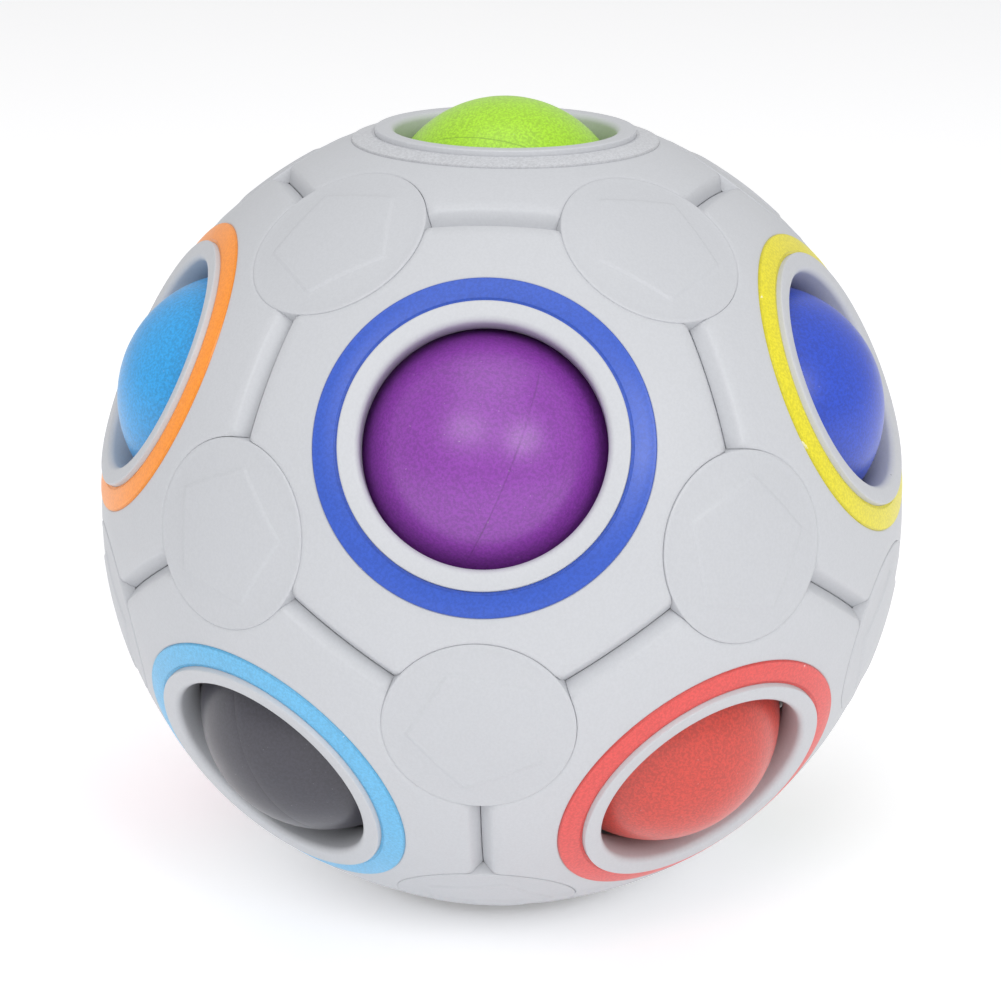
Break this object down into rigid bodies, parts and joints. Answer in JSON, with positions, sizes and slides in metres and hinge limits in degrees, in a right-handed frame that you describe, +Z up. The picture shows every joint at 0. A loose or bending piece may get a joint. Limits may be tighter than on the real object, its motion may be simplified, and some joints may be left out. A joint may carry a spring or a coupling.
{
  "type": "puzzle ball",
  "caption": "Hollow white puzzle ball: loose coloured balls show in its ringed holes and are pressed in past a core and rolled on into the hole that is empty.",
  "frame": {"origin": "middle of the flat crest of the empty bottom hole's lip, on which the puzzle stands, straight below the puzzle's centre", "axes": "+Z up through the top hole, -Y towards the front hole's side, +X to the right seen from the front"},
  "size_m": [0.0688, 0.069, 0.0686],
  "materials": {
    "shell_white": "satin moulded plastic, very light cool grey",
    "core_white": "satin moulded plastic",
    "ring_white": "satin moulded plastic",
    "ring_dark_blue": "satin moulded plastic",
    "ring_yellow": "satin moulded plastic",
    "ring_purple": "satin moulded plastic",
    "ring_lime": "satin moulded plastic",
    "ring_orange": "satin moulded plastic",
    "ring_red": "satin moulded plastic",
    "ring_dark_green": "satin moulded plastic",
    "ring_pink": "satin moulded plastic",
    "ring_brown": "satin moulded plastic",
    "ring_light_blue": "satin moulded plastic",
    "ring_dark_grey": "satin moulded plastic",
    "ball_lime": "satin moulded plastic",
    "ball_purple": "satin moulded plastic",
    "ball_dark_blue": "satin moulded plastic",
    "ball_orange": "satin moulded plastic",
    "ball_yellow": "satin moulded plastic",
    "ball_light_blue": "satin moulded plastic",
    "ball_red": "satin moulded plastic",
    "ball_brown": "satin moulded plastic",
    "ball_dark_green": "satin moulded plastic",
    "ball_pink": "satin moulded plastic",
    "ball_dark_grey": "satin moulded plastic"
  },
  "bodies": {
    "shell": {"panel_top": "shell_white", "panel_front": "shell_white", "panel_right": "shell_white", "panel_back_right": "shell_white", "panel_back_left": "shell_white", "panel_left": "shell_white", "panel_low_front_right": "shell_white", "panel_low_right": "shell_white", "panel_low_back": "shell_white", "panel_low_left": "shell_white", "panel_low_front_left": "shell_white", "panel_bottom": "shell_white", "ring_top": "ring_white", "ring_front": "ring_dark_blue", "ring_right": "ring_yellow", "ring_back_right": "ring_purple", "ring_back_left": "ring_lime", "ring_left": "ring_orange", "ring_low_front_right": "ring_red", "ring_low_right": "ring_dark_green", "ring_low_back": "ring_pink", "ring_low_left": "ring_brown", "ring_low_front_left": "ring_light_blue", "ring_bottom": "ring_dark_grey", "cap_01": "shell_white", "cap_02": "shell_white", "cap_03": "shell_white", "cap_04": "shell_white", "cap_05": "shell_white", "cap_06": "shell_white", "cap_07": "shell_white", "cap_08": "shell_white", "cap_09": "shell_white", "cap_10": "shell_white", "cap_11": "shell_white", "cap_12": "shell_white", "cap_13": "shell_white", "cap_14": "shell_white", "cap_15": "shell_white", "cap_16": "shell_white", "cap_17": "shell_white", "cap_18": "shell_white", "cap_19": "shell_white", "cap_20": "shell_white"},
    "core": {"core": "core_white"},
    "ball_top": {"ball_top": "ball_lime"},
    "ball_front": {"ball_front": "ball_purple"},
    "ball_right": {"ball_right": "ball_dark_blue"},
    "ball_back_right": {"ball_back_right": "ball_orange"},
    "ball_back_left": {"ball_back_left": "ball_yellow"},
    "ball_left": {"ball_left": "ball_light_blue"},
    "ball_low_front_right": {"ball_low_front_right": "ball_red"},
    "ball_low_right": {"ball_low_right": "ball_brown"},
    "ball_low_back": {"ball_low_back": "ball_dark_green"},
    "ball_low_left": {"ball_low_left": "ball_pink"},
    "ball_low_front_left": {"ball_low_front_left": "ball_dark_grey"}
  },
  "joints": [
    {"name": "core_turn", "type": "hinge", "parent": "shell", "child": "core", "pos_m": [0, 0, 0.03307], "axis": [-1, 0, 0], "range_deg": [0, 63.44]},
    {"name": "press_top", "type": "slide", "parent": "shell", "child": "ball_top", "axis": [0, 0, 1], "range_m": [-0.00455, 0]},
    {"name": "press_front", "type": "slide", "parent": "shell", "child": "ball_front", "axis": [0, -0.8944, 0.4472], "range_m": [-0.00455, 0]},
    {"name": "press_right", "type": "slide", "parent": "shell", "child": "ball_right", "axis": [0.8507, -0.2764, 0.4472], "range_m": [-0.00455, 0]},
    {"name": "press_back_right", "type": "slide", "parent": "shell", "child": "ball_back_right", "axis": [0.5257, 0.7236, 0.4472], "range_m": [-0.00455, 0]},
    {"name": "press_back_left", "type": "slide", "parent": "shell", "child": "ball_back_left", "axis": [-0.5257, 0.7236, 0.4472], "range_m": [-0.00455, 0]},
    {"name": "press_left", "type": "slide", "parent": "shell", "child": "ball_left", "axis": [-0.8507, -0.2764, 0.4472], "range_m": [-0.00455, 0]},
    {"name": "press_low_front_right", "type": "slide", "parent": "shell", "child": "ball_low_front_right", "axis": [0.5257, -0.7236, -0.4472], "range_m": [-0.00455, 0]},
    {"name": "press_low_right", "type": "slide", "parent": "shell", "child": "ball_low_right", "axis": [0.8507, 0.2764, -0.4472], "range_m": [-0.00455, 0]},
    {"name": "let_out_low_back", "type": "slide", "parent": "core", "child": "ball_low_back", "axis": [0, 0.8944, -0.4472], "range_m": [0, 0.00455]},
    {"name": "press_low_left", "type": "slide", "parent": "shell", "child": "ball_low_left", "axis": [-0.8507, 0.2764, -0.4472], "range_m": [-0.00455, 0]},
    {"name": "press_low_front_left", "type": "slide", "parent": "shell", "child": "ball_low_front_left", "axis": [-0.5257, -0.7236, -0.4472], "range_m": [-0.00455, 0]}
  ]
}
